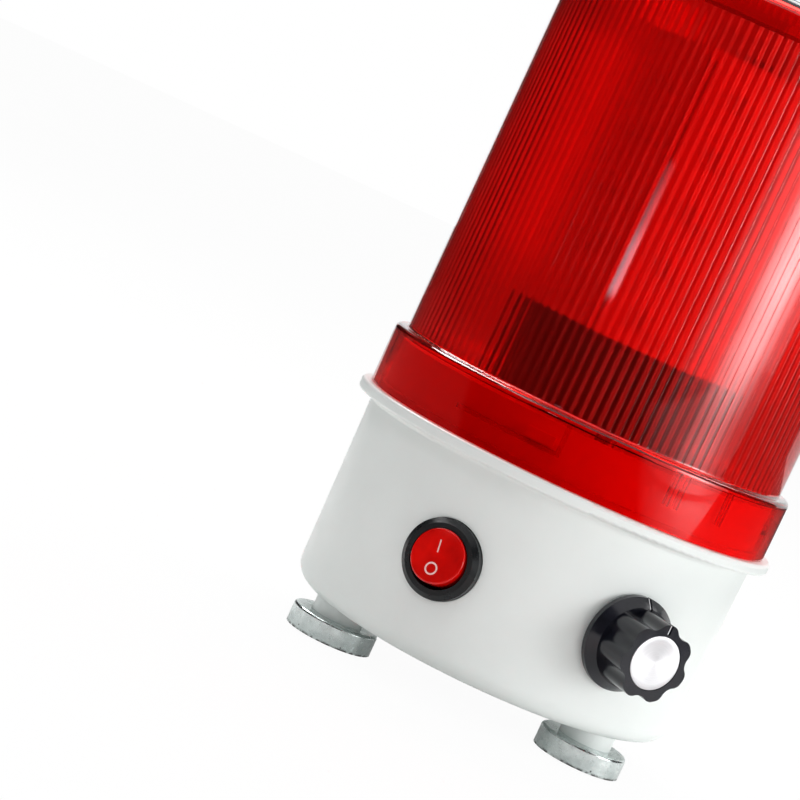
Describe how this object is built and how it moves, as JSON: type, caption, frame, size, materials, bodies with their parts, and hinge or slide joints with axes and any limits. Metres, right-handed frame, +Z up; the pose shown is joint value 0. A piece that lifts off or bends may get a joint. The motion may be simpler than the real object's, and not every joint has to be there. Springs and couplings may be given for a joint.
{
  "type": "rotating warning light",
  "caption": "Warning beacon: fluted red cylinder lens on a round white base with a rocker switch, a lobed control knob and pot-magnet feet.",
  "frame": {"origin": "on the lamp axis, in the plane of the magnets' pole faces", "axes": "+Z up along the lamp axis, -Y the front with the switch to the left and the knob to the right"},
  "size_m": [0.125, 0.1325, 0.208],
  "materials": {
    "white_abs": "moulded ABS, satin gloss",
    "red_polycarbonate": "clear red polycarbonate, polished outside",
    "black_nylon": "fine-textured black nylon",
    "black_abs": "black ABS",
    "red_rocker": "translucent red polycarbonate",
    "black_phenolic": "black phenolic, satin",
    "spun_aluminium": "spun, clear anodised",
    "zinc_steel": "zinc plated",
    "ferrite": "sintered ferrite",
    "screw_steel": "zinc plated",
    "tinned_brass": "tin plated",
    "nickel_brass": "nickel plated",
    "pot_steel": "pressed steel can",
    "black_rubber": "nitrile rubber",
    "white_silicone": "white silicone",
    "white_nylon": "white nylon",
    "white_board": "white solder mask on glass laminate",
    "led_package": "phosphor over a white frame",
    "green_board": "green solder mask on glass laminate",
    "capacitor_sleeve": "shrunk sleeve over an aluminium can",
    "green_polyamide": "green polyamide",
    "chip_epoxy": "moulded epoxy",
    "speaker_steel": "black lacquered pressed steel",
    "cone_paper": "pressed paper"
  },
  "bodies": {
    "base": {"base_housing": "white_abs", "switch_body": "black_nylon", "column_base": "black_abs", "magnet_cup_1": "zinc_steel", "magnet_cup_2": "zinc_steel", "magnet_cup_3": "zinc_steel", "magnet_core_1": "ferrite", "magnet_core_2": "ferrite", "magnet_core_3": "ferrite", "speaker_magnet": "ferrite", "inductor": "ferrite", "magnet_screws": "screw_steel", "chassis_screws": "screw_steel", "board_screws": "screw_steel", "column_stud": "screw_steel", "column_nuts": "screw_steel", "switch_terminals": "tinned_brass", "pot_terminals": "tinned_brass", "pot_bushing": "nickel_brass", "pot_nut": "nickel_brass", "pot_washer": "nickel_brass", "pot_body": "pot_steel", "cable_grommet": "black_rubber", "lens_gasket": "white_silicone", "chassis_plate": "white_nylon", "column_cap": "white_nylon", "led_board_1": "white_board", "led_board_2": "white_board", "led_board_3": "white_board", "led_board_4": "white_board", "led_board_5": "white_board", "led_board_6": "white_board", "leds": "led_package", "driver_board": "green_board", "filter_capacitor": "capacitor_sleeve", "terminal_block": "green_polyamide", "driver_chip": "chip_epoxy", "speaker_frame": "speaker_steel", "speaker_cone": "cone_paper"},
    "lens": {"lens": "red_polycarbonate"},
    "rocker": {"rocker": "red_rocker"},
    "knob": {"knob": "black_phenolic", "knob_disc": "spun_aluminium", "knob_grub_screw": "screw_steel", "pot_shaft": "pot_steel"}
  },
  "joints": [
    {"name": "lens_twist", "type": "hinge", "parent": "base", "child": "lens", "pos_m": [0, 0, 0.0692], "axis": [0, 0, 1], "range_deg": [0, 32]},
    {"name": "rocker_flip", "type": "hinge", "parent": "base", "child": "rocker", "pos_m": [-0.02606, -0.05028, 0.038], "axis": [0.8878, -0.4602, 0], "range_deg": [0, 18]},
    {"name": "knob_turn", "type": "hinge", "parent": "base", "child": "knob", "pos_m": [0.02761, -0.05327, 0.038], "axis": [0.4602, -0.8878, 0], "range_deg": [-150, 150]}
  ]
}
